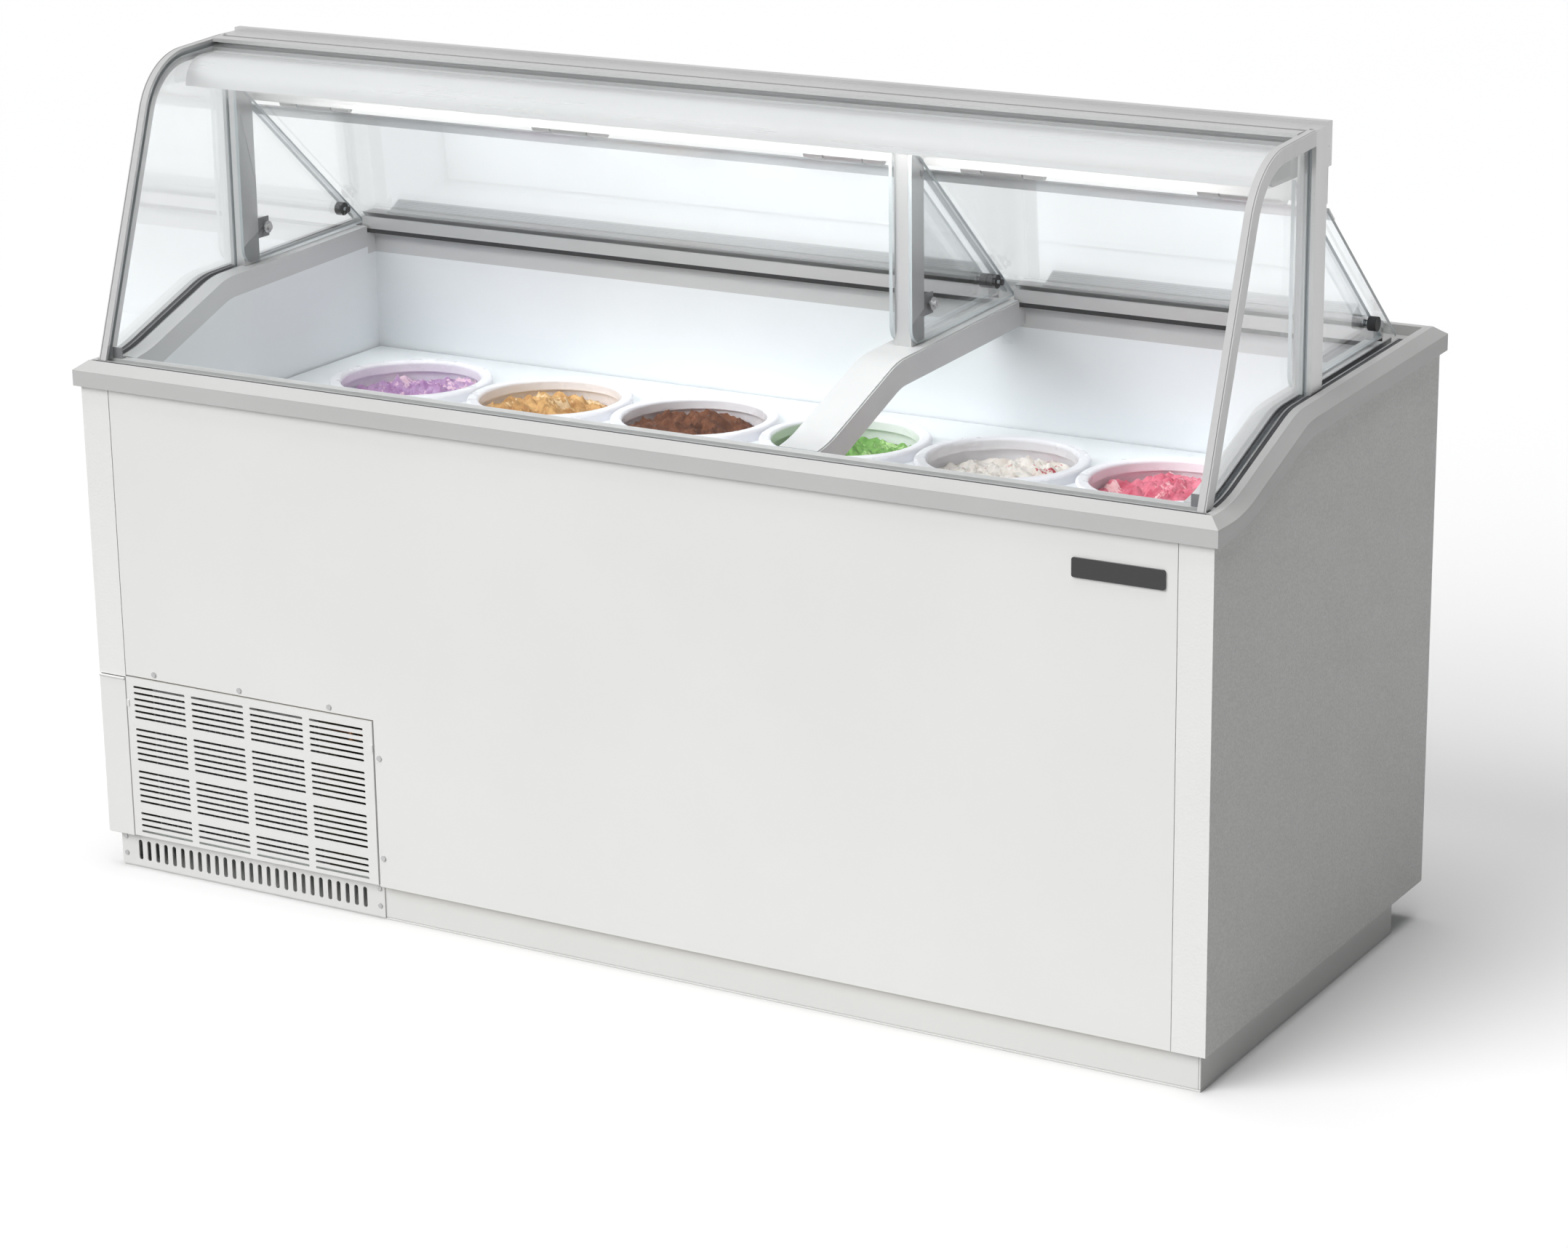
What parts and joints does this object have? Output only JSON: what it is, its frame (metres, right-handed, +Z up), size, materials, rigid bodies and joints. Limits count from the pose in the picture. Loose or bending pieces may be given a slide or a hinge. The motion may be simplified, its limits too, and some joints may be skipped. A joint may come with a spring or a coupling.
{
  "type": "ice cream dipping cabinet",
  "caption": "Ice cream dipping cabinet with a curved front glass, a lamp canopy, two flip-up rear lids and round tubs under them.",
  "frame": {"origin": "centre of the footprint, on the floor", "axes": "+X to the right seen from the customer's side, -Y towards the customer, +Z up"},
  "size_m": [1.794, 0.74, 1.195],
  "materials": {
    "zinc_steel": "zinc plated",
    "white_paint": "fine satin",
    "foam": "rigid foam",
    "liner_white": "satin",
    "copper": "plain copper",
    "bright_steel": "satin",
    "badge_dark": "gloss, blank",
    "satin_trim": "satin warm grey",
    "collar_grey": "satin",
    "channel_grey": "satin",
    "black_rubber": "matt",
    "satin_aluminium": "satin anodised",
    "clear_glass": "clear",
    "clear_panel": "clear acrylic",
    "canopy_bright": "bright satin",
    "bracket_grey": "matt",
    "lamp_white": "satin",
    "tub_white": "satin",
    "ice_cream": "soft matt",
    "shelf_wire": "satin",
    "machine_black": "satin",
    "fin_aluminium": "plain",
    "fan_grey": "satin",
    "control_black": "satin"
  },
  "bodies": {
    "cabinet": {"plinth_frame": "white_paint", "bottom_pan": "zinc_steel", "front_panel": "white_paint", "left_side_panel": "white_paint", "left_lower_cover": "white_paint", "right_side_panel": "white_paint", "rear_panel": "white_paint", "insulation": "foam", "inner_liner": "liner_white", "evaporator_coil": "copper", "kick_vent_plate": "white_paint", "panel_fixings": "bright_steel", "grille_panel": "white_paint", "blank_badge": "badge_dark", "front_trim": "satin_trim", "side_trims": "satin_trim", "rear_trim": "satin_trim", "liner_collar": "collar_grey", "glass_channels": "channel_grey", "divider_beam": "collar_grey", "glass_seals": "black_rubber", "corner_posts": "satin_aluminium", "middle_post": "satin_aluminium", "end_bars": "satin_aluminium", "top_rail": "satin_aluminium", "front_glass": "clear_glass", "side_glasses": "clear_glass", "canopy": "canopy_bright", "canopy_ends": "bracket_grey", "lamp_tube": "lamp_white", "lamp_holders": "lamp_white", "side_wings": "clear_panel", "middle_wings": "clear_panel", "glass_brackets": "bracket_grey", "wing_bolts": "bright_steel", "lid_bumpers": "black_rubber", "lid_hinges": "bright_steel", "tub_rack": "liner_white", "tubs": "tub_white", "ice_cream": "ice_cream", "tub_shelf": "shelf_wire", "compressor": "machine_black", "condenser": "fin_aluminium", "fan_shroud": "fin_aluminium", "fan_motor": "machine_black", "refrigerant_lines": "copper", "control_box": "control_black"},
    "left_lid": {"left_lid_pane": "clear_panel", "left_lid_nose": "satin_aluminium", "left_lid_handle": "satin_aluminium", "left_lid_top": "satin_aluminium", "left_lid_seal": "black_rubber"},
    "right_lid": {"right_lid_pane": "clear_panel", "right_lid_nose": "satin_aluminium", "right_lid_handle": "satin_aluminium", "right_lid_top": "satin_aluminium", "right_lid_seal": "black_rubber"},
    "fan": {"fan_blade": "fan_grey"},
    "knob": {"thermostat_knob": "control_black"},
    "switch": {"lamp_switch": "control_black"}
  },
  "joints": [
    {"name": "left_lid_hinge", "type": "hinge", "parent": "cabinet", "child": "left_lid", "pos_m": [0, 0.028, 1.08569], "axis": [1, 0, 0], "range_deg": [0, 135]},
    {"name": "right_lid_hinge", "type": "hinge", "parent": "cabinet", "child": "right_lid", "pos_m": [0, 0.028, 1.08569], "axis": [1, 0, 0], "range_deg": [0, 135]},
    {"name": "fan_spin", "type": "hinge", "parent": "cabinet", "child": "fan", "pos_m": [-0.65536, -0.29, 0.174], "axis": [0, 1, 0], "continuous": true},
    {"name": "thermostat_turn", "type": "hinge", "parent": "cabinet", "child": "knob", "pos_m": [-0.787, 0.353, 0.208], "axis": [0, 1, 0], "range_deg": [0, 270]},
    {"name": "lamp_switch_rock", "type": "hinge", "parent": "cabinet", "child": "switch", "pos_m": [-0.727, 0.337, 0.208], "axis": [1, 0, 0], "range_deg": [-8, 8]}
  ]
}
